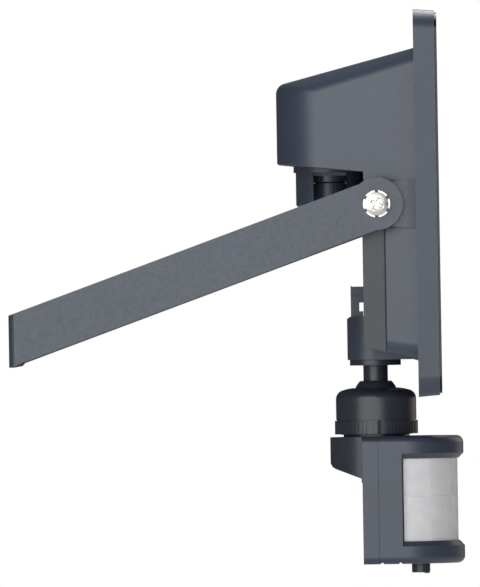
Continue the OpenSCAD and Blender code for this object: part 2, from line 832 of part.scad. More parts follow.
// Straight sides and a half-round front, with the upper and lower edges rounded all the way round
module head_solid(inset) {
    edge = 3.3 - inset / 2;
    w = lip_r - inset;
    top = head_top - inset;
    low = head_low + inset;
    back = head_back + inset;
    translate([0, 0, (top + low) / 2]) panel(back, lip_x, 2 * w, top - low, edge);
    intersection() {
        translate([lip_x, 0, 0]) rotate_extrude() {
            translate([0, low]) square([w - edge, top - low]);
            translate([0, low + edge]) square([w, top - low - 2 * edge]);
            for (z = [low + edge, top - edge]) translate([w - edge, z]) circle(edge);
        }
        block([lip_x - 0.5, 60], [-40, 40], [low - 1, top + 1]);
    }
}

// The window: as tall as the lens shows at the wall's inner face, and flared outwards
module window_outline() {
    inner = lip_r - 2.4;
    polygon([
        [0, lens_z[0]], [inner, lens_z[0]], [lip_r + 1, lens_z[0] - 3.6],
        [lip_r + 1, lens_z[1] + 3.6], [inner, lens_z[1]], [0, lens_z[1]]
    ]);
}

module window_cut() {
    translate([lip_x, 0, 0]) {
        intersection() {
            rotate_extrude() window_outline();
            block([-1.5, 60], [-40, 40], [-180, -90]);
        }
        both_sides() rotate([90, 0, -90]) linear_extrude(1.5) mirror([1, 0, 0]) window_outline();
    }
}

cover_screw_at = [[21, -111.5], [21, -160.5]];
knobs_y = [-knob_gap, 0, knob_gap];

module head_openings() {
    translate([joint_at[0], 0, 0]) rod_z(-109.6, -100, 15.3);
    for (y = knobs_y) translate([knob_x, y, 0]) {
        rod_z(-170, -158, 1.9);
        rod_z(-170, head_low + 1.2, 4.7);
    }
}

module rear_cover() {
    color(grey) from_pivot() difference() {
        intersection() {
            head_solid(0);
            block([-20, seam_x - 0.1], [-40, 40], [-180, -100]);
        }
        difference() {
            head_solid(2.2);
            both_sides() for (at = cover_screw_at) translate([0, at[0], at[1]]) rod_x(-20, 10, 3.6);
            for (y = [-10, 10]) translate([0, y, neck_screw_z]) rod_x(-20, seam_x - 2.4, 3.4);
        }
        head_openings();
        both_sides() for (at = cover_screw_at) translate([0, at[0], at[1]]) {
            rod_x(-20, 10, 1.5);
            rod_x(-20, head_back + 1.8, 2.7);
        }
        for (y = [-10, 10]) translate([0, y, neck_screw_z]) rod_x(-20, seam_x, 1.5);
    }
}

module cover_seal() {
    color(black) from_pivot() difference() {
        translate([0, 0, (head_top + head_low) / 2]) panel(seam_x - 1.6, seam_x - 0.1 - gap, head_w - 4.5, 54.2, 3);
        translate([0, 0, (head_top + head_low) / 2]) panel(seam_x - 3, seam_x + 2, head_w - 7.5, 51.2, 2);
        head_openings();
        both_sides() for (at = cover_screw_at) translate([0, at[0], at[1]]) rod_x(-20, 10, 3.65);
    }
}

module cover_screws() {
    color(steel) from_pivot() both_sides() for (at = cover_screw_at)
        translate([head_back + 1.8, at[0], at[1]]) rotate([0, -90, 0]) cross_screw(1.4, 2.6, 1.5, 12, 25);
}

module sensor_housing() {
    color(grey) from_pivot() difference() {
        intersection() {
            head_solid(0);
            block([seam_x, 60], [-40, 40], [-180, -100]);
        }
        difference() {
            intersection() {
                head_solid(2.2);
                block([seam_x - 5, 60], [-40, 40], [-180, -100]);
            }
            both_sides() for (at = cover_screw_at) translate([0, at[0], at[1]]) rod_x(-20, 7.2, 3.6);
        }
        window_cut();
        head_openings();
        both_sides() for (at = cover_screw_at) translate([0, at[0], at[1]]) rod_x(-20, 6.2, 1.45);
        // drip grooves across the underside
        for (x = [-0.2, 8.2]) translate([x, 0, head_low]) rotate([90, 0, 0])
            cylinder(h = 80, r = 0.7, center = true, $fn = 24);
    }
}

module lens_band(r_in, r_out, z) {
    difference() {
        translate([lip_x, 0, z[0]]) cylinder(h = z[1] - z[0], r = r_out);
        translate([lip_x, 0, z[0] - 1]) cylinder(h = z[1] - z[0] + 2, r = r_in);
        block([-60, lip_x - 0.8], [-40, 40], [-180, -100]);
    }
}

module lens_frame() {
    inner = lip_r - 2.3;
    color(black) from_pivot() {
        lens_band(lens_r - 2.4, inner, [lens_z[1] + 1.6, lens_z[1] + 4]);
        lens_band(lens_r - 2.4, inner, [lens_z[0] - 4, lens_z[0] - 1.6]);
        both_sides() block([lip_x - 3.6, lip_x - 0.9], [lens_r - 2.4, inner], [lens_z[0] - 4, lens_z[1] + 4]);
    }
}

module fresnel_lens() {
    color([0.9, 0.91, 0.93]) from_pivot() lens_band(lens_r - 0.8, lens_r, [lens_z[0] - 1.5, lens_z[1] + 1.5]);
}

module sensor_board() {
    color([0.05, 0.3, 0.12]) from_pivot() translate([0, 0, -136]) panel(1, 2.6, 42, 40, 2);
}

module pyro_detector() {
    color(steel) from_pivot() translate([0, 0, -133]) {
        rod_x(2.6, 3.1, 4.7);
        rod_x(3.1, 6.8, 4.1);
        block([6.7, 7], [-2, 2], [-1.5, 1.5]);
    }
}

module potentiometers() {
    color([0.1, 0.2, 0.5]) from_pivot() for (y = knobs_y) translate([knob_x, y, 0]) difference() {
        union() {
            rod_z(-157.2, -151.5, 4.5);
            block([2.7 - knob_x, -3], [-4, 4], [-156.5, -152]);
        }
        rod_z(-160, -153, 1.55);
    }
}

// A dial with a raised pointer and its spindle
module knob(y) {
    color(dark) from_pivot() translate([knob_x, y, 0]) {
        difference() {
            union() {
                rod_z(-169.6, head_low + 1, 4);
                for (i = [0:17]) rotate(i * 20) block([3.5, 4.25], [-0.3, 0.3], [-169.2, head_low + 0.6]);
                block([1.6, 3.9], [-0.5, 0.5], [-170, -169.5]);
            }
            block([-2.6, 2.6], [-0.45, 0.45], [-171, -168.9]);
        }
        rod_z(head_low + 0.9, -153.2, 1.5);
    }
}

module time_knob() { knob(-knob_gap); }
module lux_knob() { knob(0); }
module range_knob() { knob(knob_gap); }

// ---------- Output ----------

wall_bracket();
friction_washers();
pivot_screws();
star_washers();
pivot_inserts();
rear_housing();
heat_sink();
heat_sink_screws();
frame_seal();
frame_screws();
front_frame();
front_trim();
glass_gasket();
front_glass();
reflector();
led_board();
led_chips();
led_tray();
tray_screws();
battery_holder();
battery_cells();
control_board();
board_parts();
board_spacers();
board_screws();
battery_lead();
panel_lead();
socket_body();
socket_pins();
socket_nut();
cap_seal();
socket_cap();
sensor_mount();
mount_seal();
mount_screws();
lug_screw();
ball_stud();
ball_seat();
ball_ring();
clamp_nut();
sensor_neck();
neck_screws();
rear_cover();
cover_seal();
cover_screws();
sensor_housing();
lens_frame();
fresnel_lens();
sensor_board();
pyro_detector();
potentiometers();
time_knob();
lux_knob();
range_knob();
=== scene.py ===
# %% [markdown]
# # A solar flood light in Blender
# The lamp is a flat LED flood light with a battery bay on its back. It hangs in a folded steel
# bracket and carries a motion sensor on a ball joint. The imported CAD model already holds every
# size and every moving part, so this script adds what CAD leaves out: finishes, soft edges, the
# fine relief of the lens and the mirror, the light and the camera.

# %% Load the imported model
import json
from math import cos, floor, hypot, pi, radians, sin

import bpy
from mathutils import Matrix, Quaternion, Vector


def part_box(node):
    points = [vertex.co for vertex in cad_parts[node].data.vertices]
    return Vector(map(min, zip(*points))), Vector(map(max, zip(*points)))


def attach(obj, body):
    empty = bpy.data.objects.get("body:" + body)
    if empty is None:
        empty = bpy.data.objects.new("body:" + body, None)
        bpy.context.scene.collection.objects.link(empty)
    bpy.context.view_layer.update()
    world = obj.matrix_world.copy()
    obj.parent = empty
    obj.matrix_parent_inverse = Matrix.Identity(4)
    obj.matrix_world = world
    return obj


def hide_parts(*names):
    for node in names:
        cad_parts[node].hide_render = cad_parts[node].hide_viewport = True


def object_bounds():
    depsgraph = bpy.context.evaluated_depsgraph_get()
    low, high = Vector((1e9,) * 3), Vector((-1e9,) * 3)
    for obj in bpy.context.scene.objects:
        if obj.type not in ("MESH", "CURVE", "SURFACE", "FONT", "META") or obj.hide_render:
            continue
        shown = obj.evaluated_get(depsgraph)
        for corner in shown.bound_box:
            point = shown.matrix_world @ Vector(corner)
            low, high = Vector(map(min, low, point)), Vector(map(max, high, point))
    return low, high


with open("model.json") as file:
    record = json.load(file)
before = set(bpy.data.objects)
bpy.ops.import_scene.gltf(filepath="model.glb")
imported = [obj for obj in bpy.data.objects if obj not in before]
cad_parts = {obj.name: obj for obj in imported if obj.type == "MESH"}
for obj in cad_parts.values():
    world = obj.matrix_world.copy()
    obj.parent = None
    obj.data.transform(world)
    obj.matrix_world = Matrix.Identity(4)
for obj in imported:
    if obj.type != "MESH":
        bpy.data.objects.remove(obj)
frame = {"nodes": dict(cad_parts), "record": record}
NODES = frame["nodes"]
CAD_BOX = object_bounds()
MM = 0.001

# %% [markdown]
# ## Where things are
# Two places steer everything else. The tilt pivot is the axis of the lamp's two big screws, and
# the lens axis is the upright axis that the sensor's curved window is drawn around. Both are read
# from the CAD boxes, so nothing has to be fitted by hand.

# %% Find the pivot and the lens axis
def middle(node):
    low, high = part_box(node)
    return (low + high) / 2


PIVOT = middle("pivot_screws")
LENS_LOW, LENS_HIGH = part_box("fresnel_lens")
LENS_R = (LENS_HIGH.y - LENS_LOW.y) / 2
LENS_AXIS_X = LENS_HIGH.x - LENS_R
print("pivot", [round(c, 4) for c in PIVOT], "lens radius mm", round(LENS_R / MM, 2))

# %% [markdown]
# ## Camera
# A product shot like this is taken from far away through a long lens, so that near and far parts
# come out at the same scale. The camera stands almost ten metres off. What it sees at the lamp is
# 270 mm tall, and the focal length follows from that: sensor size times distance over height.
# It stands in the plane of the front frame, so the frame shows its narrow side only, and a small
# roll leans the object a degree to the left.

# %% Camera at the side of the lamp
VIEW_HEIGHT = 270 * MM
SENSOR_MM = 36
CAMERA_DISTANCE = 9.75
CAMERA_ROLL = radians(0.95)
# What the camera looks at, from the pivot: close to the middle of the object's box.
AIM = PIVOT + Vector((-63.7, -20, -39.9)) * MM
FRAME_X = middle("front_frame").x

camera_data = bpy.data.cameras.new("side_camera")
camera_data.sensor_width = SENSOR_MM
camera_data.lens = SENSOR_MM * CAMERA_DISTANCE / VIEW_HEIGHT
camera_data.clip_start = 0.1
camera_data.clip_end = 30
camera = bpy.data.objects.new("side_camera", camera_data)
camera.location = (FRAME_X, AIM.y - CAMERA_DISTANCE, AIM.z)
camera.rotation_mode = "QUATERNION"
facing = (AIM - camera.location).to_track_quat("-Z", "Y")
camera.rotation_quaternion = facing @ Quaternion((0, 0, 1), -CAMERA_ROLL)
bpy.context.scene.collection.objects.link(camera)
bpy.context.scene.camera = camera
print("lens mm", round(camera_data.lens), "from", CAMERA_DISTANCE, "m")

# %% [markdown]
# ## Colour and node helpers
# Colours are picked as sRGB hex values, the way a colour chart gives them, but shaders work with
# linear light. One function turns one into the other. A second function adds a node, sets its
# values and makes its links in one call, so each finish below reads like a short recipe. It serves
# materials, the world and node groups alike.

# %% Hex to linear, and a node adder
def linear(hex_colour):
    channels = [int(hex_colour[i:i + 2], 16) / 255 for i in (1, 3, 5)]
    return [c / 12.92 if c <= 0.04045 else ((c + 0.055) / 1.055) ** 2.4 for c in channels] + [1]


def add_node(owner, kind, settings=None, inputs=None):
    tree = getattr(owner, "node_tree", owner)
    node = tree.nodes.new(kind)
    for name, value in (settings or {}).items():
        setattr(node, name, value)
    for name, value in (inputs or {}).items():
        if isinstance(value, bpy.types.NodeSocket):
            tree.links.new(value, node.inputs[name])
        else:
            node.inputs[name].default_value = value
    return node


def new_finish(name):
    material = bpy.data.materials.new(name)
    material.use_nodes = True
    material.node_tree.nodes.clear()
    return material


print("mid grey in linear light", [round(c, 3) for c in linear("#808080")[:3]])

# %% Values that the recipes share
# A Mix node has sockets for every kind of data. These are the ones that carry colour.
MIX_A, MIX_B, MIX_RESULT = 6, 7, 2
MULTIPLY = {"data_type": "RGBA", "blend_type": "MULTIPLY"}
# Nearly all values of a noise texture lie in this span.
NOISE_SPAN = {"From Min": 0.3, "From Max": 0.7}
print("noise span", list(NOISE_SPAN.values()))

# %% [markdown]
# ## Moulded and coated finishes
# Most of this lamp is one grey, but not one surface. The housings are ABS with a fine spark-eroded
# mould grain, the bracket is steel under powder coat, which dries with an orange-peel skin, and the
# ball joint is smoother acetal. They differ in how tight the gloss is and in the size of the bumps,
# so one function makes them all from a grain size in millimetres and a gloss.
# The grain mixes a little into the roughness as well: that breaks the highlight up the way grain
# does even where the bumps are too small to see.

# %% A function for moulded and coated surfaces
PATCH_MM = 22
GLOSS_SPREAD = 0.05


def grained_finish(name, colour, grain_mm, grain_depth_mm, roughness, specular=0.5, mottle=0.06):
    material = new_finish(name)
    place = add_node(material, "ShaderNodeTexCoord").outputs["Object"]
    grain = add_node(material, "ShaderNodeTexNoise", None, {
        "Vector": place, "Scale": 1 / (grain_mm * MM), "Detail": 2.0, "Roughness": 0.6})
    patches = add_node(material, "ShaderNodeTexNoise", None, {
        "Vector": place, "Scale": 1 / (PATCH_MM * MM), "Detail": 3.0})
    tone = add_node(material, "ShaderNodeMapRange", None, {
        "Value": patches.outputs["Fac"], **NOISE_SPAN, "To Min": 1 - mottle, "To Max": 1 + mottle})
    tint = add_node(material, "ShaderNodeMix", MULTIPLY, {
        "Factor": 1.0, MIX_A: linear(colour), MIX_B: tone.outputs["Result"]})
    gloss = add_node(material, "ShaderNodeMapRange", None, {
        "Value": grain.outputs["Fac"], **NOISE_SPAN,
        "To Min": roughness - GLOSS_SPREAD, "To Max": roughness + GLOSS_SPREAD})
    bump = add_node(material, "ShaderNodeBump", None, {
        "Height": grain.outputs["Fac"], "Distance": grain_depth_mm * MM, "Strength": 1.0})
    shader = add_node(material, "ShaderNodeBsdfPrincipled", None, {
        "Base Color": tint.outputs[MIX_RESULT], "Roughness": gloss.outputs["Result"],
        "Specular IOR Level": specular, "IOR": 1.5, "Normal": bump.outputs["Normal"]})
    add_node(material, "ShaderNodeOutputMaterial", None, {"Surface": shader.outputs[0]})
    return material


# %% ABS, powder coat, acetal and rubber
# Spark-eroded ABS: grain of about 0.3 mm on the real mould, drawn at 0.8 mm so that it shows.
moulded_abs = grained_finish("moulded_abs", "#3E4859", 0.8, 0.012, 0.40, 0.8)
# Powder coat: orange peel some 1.5 mm across, smoother between the bumps than the plastic.
powder_coat = grained_finish("powder_coat", "#3F4959", 1.5, 0.015, 0.38, 0.8)
# Acetal comes out of a polished mould, so it is smoother and darker in the shade.
moulded_acetal = grained_finish("moulded_acetal", "#323842", 1.0, 0.006, 0.34, 0.7)
# Silicone rubber is matt and swallows its highlights.
silicone_rubber = grained_finish("silicone_rubber", "#1A1A1B", 0.6, 0.01, 0.75, 0.3)
# The black border is screen-printed ink on the trim: dense and glossy.
printed_border = grained_finish("printed_border", "#08080A", 2.5, 0.002, 0.16, 0.5, 0.02)
# Epoxy-moulded parts and the battery holder, dusty black.
moulded_epoxy = grained_finish("moulded_epoxy", "#1C1C1F", 0.5, 0.008, 0.5)
print("materials so far, with the CAD model's own", len(bpy.data.materials))

# %% [markdown]
# ## Metals
# Each metal here has its own surface. The screws and star washers are steel with bright zinc, the
# fins are anodised, which dyes a thin glassy oxide layer grey-black, the LED tray is bare mill
# aluminium with fine rolling lines, and the spacers and inserts are turned brass. All but the
# anodised fins are fully metallic, so their colour sits in the reflection, and only roughness and
# fine marks tell them apart. Lines come from a noise that is stretched along one axis. Shade is
# painted into the colour in the cross recess of a screw and between the teeth of a washer. An
# ambient occlusion node finds such places: it tells how much of a point's surroundings is blocked
# by the same part within a millimetre, and the colour is darkened there.

# %% A function for metals
RECESS_MM = 1.0
# How open a shaded and an unshaded place are, and how much light the painted shade leaves.
PAINTED_SHADE_SPAN = {"From Min": 0.35, "From Max": 0.85, "To Min": 0.15, "To Max": 1.0}


def metal_finish(name, colour, roughness, mark_mm, mark_depth_mm, stretch=(1, 1, 1)):
    material = new_finish(name)
    place = add_node(material, "ShaderNodeTexCoord").outputs["Object"]
    aim = add_node(material, "ShaderNodeMapping", None, {"Vector": place, "Scale": stretch})
    marks = add_node(material, "ShaderNodeTexNoise", None, {
        "Vector": aim.outputs["Vector"], "Scale": 1 / (mark_mm * MM), "Detail": 3.0})
    gloss = add_node(material, "ShaderNodeMapRange", None, {
        "Value": marks.outputs["Fac"], **NOISE_SPAN,
        "To Min": roughness * 0.8, "To Max": roughness * 1.2})
    bump = add_node(material, "ShaderNodeBump", None, {
        "Height": marks.outputs["Fac"], "Distance": mark_depth_mm * MM, "Strength": 1.0})
    # Painted shade: the colour darkens wherever the same part closes in within a millimetre.
    recess = add_node(material, "ShaderNodeAmbientOcclusion", {"samples": 8, "only_local": True}, {
        "Distance": RECESS_MM * MM})
    painted_shade = add_node(material, "ShaderNodeMapRange", None, {
        "Value": recess.outputs["AO"], **PAINTED_SHADE_SPAN})
    tint = add_node(material, "ShaderNodeMix", MULTIPLY, {
        "Factor": 1.0, MIX_A: linear(colour), MIX_B: painted_shade.outputs["Result"]})
    shader = add_node(material, "ShaderNodeBsdfPrincipled", None, {
        "Base Color": tint.outputs[MIX_RESULT], "Metallic": 1.0,
        "Roughness": gloss.outputs["Result"], "Normal": bump.outputs["Normal"]})
    add_node(material, "ShaderNodeOutputMaterial", None, {"Surface": shader.outputs[0]})
    return material


# %% Zinc, anodised and bare aluminium, brass
# Bright zinc is barrel-plated steel: pale, with a satin gloss.
bright_zinc = metal_finish("bright_zinc", "#E4E3DF", 0.34, 0.6, 0.0008)
# The same plating with a black passivation.
black_zinc = metal_finish("black_zinc", "#3A3C40", 0.36, 0.6, 0.001)
# Rolled sheet: its lines run along one axis.
mill_aluminium = metal_finish("mill_aluminium", "#C9CACC", 0.34, 0.5, 0.003, (1, 0.04, 1))
# Turned on an automatic lathe, so it is the glossiest of these.
turned_brass = metal_finish("turned_brass", "#C9A45A", 0.25, 0.4, 0.003)
# The can of the heat detector is drawn, nickel-plated steel.
detector_can = metal_finish("detector_can", "#BDBEC0", 0.28, 0.6, 0.002)
# Anodising leaves a dyed oxide film: it looks like a satin dark coat more than like bare metal.
dark_anodised = grained_finish("dark_anodised", "#3E424A", 0.6, 0.006, 0.38, 0.6)
print("metals in", bright_zinc.name, mill_aluminium.name, turned_brass.name)

# %% [markdown]
# ## Electronics finishes
# The boards are glass-fibre sheet under solder mask, a lacquer that lies thinner over the copper
# tracks, so the tracks show as a paler pattern. A brick texture with a narrow mortar line gives
# such a grid of tracks. The cells wear a blue shrink sleeve and the leads a soft red jacket.

# %% A function for solder mask
TRACK_HEIGHT_MM = 0.03


def solder_mask(name, colour, track_colour, track_mm):
    material = new_finish(name)
    place = add_node(material, "ShaderNodeTexCoord").outputs["Object"]
    # The pattern lies in its own XY plane, so it is turned to face along X like the boards.
    turned = add_node(material, "ShaderNodeMapping", None, {
        "Vector": place, "Rotation": (0, radians(90), 0)})
    tracks = add_node(material, "ShaderNodeTexBrick", {"offset": 0.37, "squash": 1.6}, {
        "Vector": turned.outputs["Vector"], "Color1": linear(colour), "Color2": linear(colour),
        "Mortar": linear(track_colour), "Scale": 1 / (4 * track_mm * MM), "Mortar Size": 0.03,
        "Brick Width": 0.9, "Row Height": 0.5})
    bump = add_node(material, "ShaderNodeBump", None, {
        "Height": tracks.outputs["Fac"], "Distance": TRACK_HEIGHT_MM * MM, "Strength": 1.0})
    shader = add_node(material, "ShaderNodeBsdfPrincipled", None, {
        "Base Color": tracks.outputs["Color"], "Roughness": 0.25, "IOR": 1.5,
        "Normal": bump.outputs["Normal"]})
    add_node(material, "ShaderNodeOutputMaterial", None, {"Surface": shader.outputs[0]})
    return material


white_mask = solder_mask("white_solder_mask", "#E9E9E4", "#D8D8D0", 3.0)
green_mask = solder_mask("green_solder_mask", "#0F5230", "#1C6E44", 1.6)
print("boards in", white_mask.name, green_mask.name)

# %% Sleeves, leads and trimmers
# Shrink sleeve is thin PVC pulled tight, with wide shallow waves and a high gloss.
shrink_sleeve = grained_finish("shrink_sleeve", "#2B5E9E", 6.0, 0.03, 0.22, 0.5, 0.04)
# A lead's jacket is soft PVC, a little matt.
lead_jacket = grained_finish("lead_jacket", "#9E1F1C", 1.2, 0.01, 0.45)
# The body of a trimmer is moulded thermoset.
blue_thermoset = grained_finish("blue_thermoset", "#2A4E94", 0.8, 0.006, 0.4)
print("parts in", shrink_sleeve.name, lead_jacket.name, blue_thermoset.name)

# %% [markdown]
# ## Glass
# The front is tempered glass, 3 mm thick. Real glass lets lamp light in and tints it slightly
# green. A glass shader alone would cast a black shadow on the reflector behind it, because light
# rays are refracted away, so rays that come from lamps pass straight through instead.

# %% Tempered glass
tempered_glass = new_finish("tempered_glass")
glass_body = add_node(tempered_glass, "ShaderNodeBsdfPrincipled", None, {
    "Base Color": linear("#F7FBF9"), "Roughness": 0.03, "IOR": 1.5, "Transmission Weight": 1.0})
glass_shade = add_node(tempered_glass, "ShaderNodeBsdfTransparent", None, {
    "Color": linear("#F2F8F5")})
glass_rays = add_node(tempered_glass, "ShaderNodeLightPath")
glass_mix = add_node(tempered_glass, "ShaderNodeMixShader", None, {
    "Fac": glass_rays.outputs["Is Shadow Ray"],
    1: glass_body.outputs[0], 2: glass_shade.outputs[0]})
add_node(tempered_glass, "ShaderNodeOutputMaterial", None, {"Surface": glass_mix.outputs[0]})
print("glass nodes", len(tempered_glass.node_tree.nodes))

# %% [markdown]
# ## Lens plastic
# A motion sensor sees heat through thin polyethylene, the one cheap plastic that lets infrared
# through. It is milky, so light enters, scatters and comes out again a little way off. Subsurface
# scattering does that, with a radius of about a millimetre.

# %% Milky polyethylene
HAZE_MM = 5
SCATTER_MM = 1.0
milky_polyethylene = new_finish("milky_polyethylene")
lens_place = add_node(milky_polyethylene, "ShaderNodeTexCoord").outputs["Object"]
haze = add_node(milky_polyethylene, "ShaderNodeTexNoise", None, {
    "Vector": lens_place, "Scale": 1 / (HAZE_MM * MM), "Detail": 2.0})
haze_tone = add_node(milky_polyethylene, "ShaderNodeMapRange", None, {
    "Value": haze.outputs["Fac"], **NOISE_SPAN, "To Min": 0.97, "To Max": 1.03})
lens_tint = add_node(milky_polyethylene, "ShaderNodeMix", MULTIPLY, {
    "Factor": 1.0, MIX_A: linear("#FAFBFF"), MIX_B: haze_tone.outputs["Result"]})
lens_shader = add_node(milky_polyethylene, "ShaderNodeBsdfPrincipled", None, {
    "Base Color": lens_tint.outputs[MIX_RESULT], "Roughness": 0.32, "IOR": 1.51,
    "Subsurface Weight": 0.1, "Subsurface Radius": (1.0, 1.0, 1.1),
    "Subsurface Scale": SCATTER_MM * MM, "Transmission Weight": 0.03})
add_node(milky_polyethylene, "ShaderNodeOutputMaterial", None, {
    "Surface": lens_shader.outputs[0]})
print("lens plastic in", milky_polyethylene.name)

# %% [markdown]
# ## Mirror film
# The reflector is ABS with a vacuum-evaporated aluminium film under clear lacquer. It is a soft
# mirror, not a perfect one.

# %% Metallised plastic
metallised_film = metal_finish("metallised_film", "#DCDDDF", 0.16, 2.0, 0.004)
print("materials so far, with the CAD model's own", len(bpy.data.materials))

# %% [markdown]
# ## Dress the CAD nodes
# Every CAD node keeps its shape and gets the finish of its real part. The record already says what
# each node is made of, so one table turns the record's slot into a finish, and a second one holds
# the few nodes that differ.

# %% Slot to finish
FINISH_OF_SLOT = {
    "powder_coated_steel": powder_coat, "zinc_plated_steel": bright_zinc, "grey_abs": moulded_abs,
    "black_acetal": moulded_acetal, "black_rubber": silicone_rubber, "black_border": printed_border,
    "tempered_glass": tempered_glass, "black_anodised_aluminium": dark_anodised,
    "bare_aluminium": mill_aluminium, "metallised_plastic": metallised_film,
    "white_solder_mask": white_mask, "led_phosphor": white_mask, "green_board": green_mask,
    "black_component": moulded_epoxy, "brass": turned_brass, "cell_sleeve": shrink_sleeve,
    "lead_jacket": lead_jacket, "milky_polyethylene": milky_polyethylene,
    "blue_trimmer": blue_thermoset,
}
FINISH_OF_NODE = {
    "pyro_detector": detector_can, "lug_screw": black_zinc, "socket_cap": moulded_abs}
SLOT_OF_NODE = {part["node"]: part["material_slot"] for part in frame["record"]["subparts"]}


def dress(node_object, finish):
    node_object.data.materials.clear()
    node_object.data.materials.append(finish)


for name, node_object in NODES.items():
    dress(node_object, FINISH_OF_NODE.get(name, FINISH_OF_SLOT[SLOT_OF_NODE[name]]))
print("dressed", len(NODES), "nodes")

# %% [markdown]
# ## Smooth where round, crisp where folded
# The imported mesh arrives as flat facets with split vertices. A weld joins them again. Whether an
# edge then looks round or crisp depends on the angle between its two faces: a cylinder's facets
# meet at a few degrees and should blend, a corner meets at ninety and should not. A small geometry
# node group marks every edge by that angle, and works on whatever the modifiers above it make.

# %% A node group that shades by angle
def shade_by_angle_group(limit):
    group = bpy.data.node_groups.new("shade_by_angle", "GeometryNodeTree")
    for way in ("INPUT", "OUTPUT"):
        group.interface.new_socket("Geometry", in_out=way, socket_type="NodeSocketGeometry")
    start = add_node(group, "NodeGroupInput")
    angle = add_node(group, "GeometryNodeInputMeshEdgeAngle")
    gentle = add_node(group, "FunctionNodeCompare", {"operation": "LESS_THAN"}, {
        "A": angle.outputs["Unsigned Angle"], "B": limit})
    mark = add_node(group, "GeometryNodeSetShadeSmooth", {"domain": "EDGE"}, {
        "Geometry": start.outputs["Geometry"], "Shade Smooth": gentle.outputs["Result"]})
    add_node(group, "NodeGroupOutput", None, {"Geometry": mark.outputs["Geometry"]})
    return group


SMOOTH_BELOW = radians(28)
SHADE_BY_ANGLE = shade_by_angle_group(SMOOTH_BELOW)
print("group nodes", len(SHADE_BY_ANGLE.nodes))


# %% Use it on a part
def blend_facets(mesh_object):
    for name in ("custom_normal", "sharp_edge", "sharp_face"):
        if name in mesh_object.data.attributes:
            mesh_object.data.attributes.remove(mesh_object.data.attributes[name])
    shade = mesh_object.modifiers.new("shade", "NODES")
    shade.node_group = SHADE_BY_ANGLE
    even = mesh_object.modifiers.new("even", "WEIGHTED_NORMAL")
    even.keep_sharp = True


# %% [markdown]
# ## Soft edges
# No moulded or pressed part has a perfectly sharp edge, and the thin bright line along a rounded
# edge is most of what makes a render look real. The CAD keeps edges sharp where they fit, so a
# bevel modifier rounds them here. A planar dissolve first removes the needless triangles, so that
# the bevel meets clean edges. The radius follows from how each part is made.

# %% Round the edges of the parts that show
EDGE_MM = {
    "wall_bracket": 0.35, "rear_housing": 0.45, "front_frame": 0.6, "front_trim": 0.15,
    "heat_sink": 0.2, "sensor_mount": 0.35, "clamp_nut": 0.12, "ball_stud": 0.2,
    "sensor_neck": 0.35, "rear_cover": 0.12, "sensor_housing": 0.25, "socket_cap": 0.12,
    "socket_body": 0.2, "pivot_screws": 0.12, "star_washers": 0.08, "friction_washers": 0.15,
    "time_knob": 0.1, "lux_knob": 0.1, "range_knob": 0.1, "battery_holder": 0.3,
    "led_tray": 0.15, "board_parts": 0.15,
}
# Faces that differ by less than this angle are one flat face.
FLAT_BELOW = radians(0.3)
# Edges that turn by more than this angle are rounded.
ROUND_ABOVE = radians(32)
WELD_MM = 0.001


def soften(node_object, radius_mm):
    flatten = node_object.modifiers.new("flatten", "DECIMATE")
    flatten.decimate_type = "DISSOLVE"
    flatten.angle_limit = FLAT_BELOW
    bevel = node_object.modifiers.new("edge", "BEVEL")
    bevel.width = radius_mm * MM
    bevel.segments = 2
    bevel.limit_method = "ANGLE"
    bevel.angle_limit = ROUND_ABOVE
    bevel.use_clamp_overlap = True


for name, node_object in NODES.items():
    weld = node_object.modifiers.new("weld", "WELD")
    weld.merge_threshold = WELD_MM * MM
    if name in EDGE_MM:
        soften(node_object, EDGE_MM[name])
    blend_facets(node_object)
print("softened", len(EDGE_MM), "nodes")

# %% [markdown]
# ## A mesh from a grid
# The lens and the reflector both carry a relief that is too fine for CAD: rings a millimetre
# apart, dimples a few millimetres wide. Both are sheets that can be laid out as a grid
# of rows and columns, so one function makes a closed shell from a front sheet and a back sheet of
# the same size.

# %% Build a closed shell from two sheets
def shell_mesh(name, front, back, wrap=False):
    """Front and back are rows of points. With wrap, each row is a closed ring."""
    rows, columns = len(front), len(front[0])
    points = [p for row in front for p in row] + [p for row in back for p in row]
    behind = rows * columns
    faces = []
    last = columns if wrap else columns - 1
    for r in range(rows - 1):
        for c in range(last):
            n = (c + 1) % columns
            here, below = r * columns, (r + 1) * columns
            faces.append((here + c, here + n, below + n, below + c))
            faces.append(tuple(behind + i for i in reversed(faces[-1])))
    for r in (0, rows - 1):
        for c in range(last):
            here, there = r * columns + c, r * columns + (c + 1) % columns
            rim = (here, behind + here, behind + there, there)
            faces.append(rim if r == 0 else rim[::-1])
    if not wrap:
        for c in (0, columns - 1):
            for r in range(rows - 1):
                here, below = r * columns + c, (r + 1) * columns + c
                rim = (here, below, behind + below, behind + here)
                faces.append(rim if c == 0 else rim[::-1])
    mesh = bpy.data.meshes.new(name)
    mesh.from_pydata(points, [], faces)
    mesh.validate()
    return mesh


# %% Put a piece in place
def place_piece(name, mesh, finish, slot, body, *nodes):
    piece = bpy.data.objects.new(name, mesh)
    mesh.materials.append(finish)
    bpy.context.scene.collection.objects.link(piece)
    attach(piece, body)
    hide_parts(*nodes)
    print(name, len(mesh.polygons), "faces")
    return piece


# %% [markdown]
# ## The Fresnel lens
# The window bends round half a circle. It is pressed with a mosaic of small lenses in four rows,
# each cut into rings, and each aimed at its own slice of the room. Every small lens is also a
# little flatter than the circle, so light steps from one to the next, and a narrow groove parts
# them. All three are depths below the CAD surface: the flattening, the saw-tooth of the rings and
# the groove. The relief is cut into the wall, so the lens stays as large as the CAD part. Real
# rings are about 0.5 mm apart; they are drawn at 1 mm and twice as deep, so that they show.

# %% Lay out the small lenses
LENS_T = 0.8 * MM
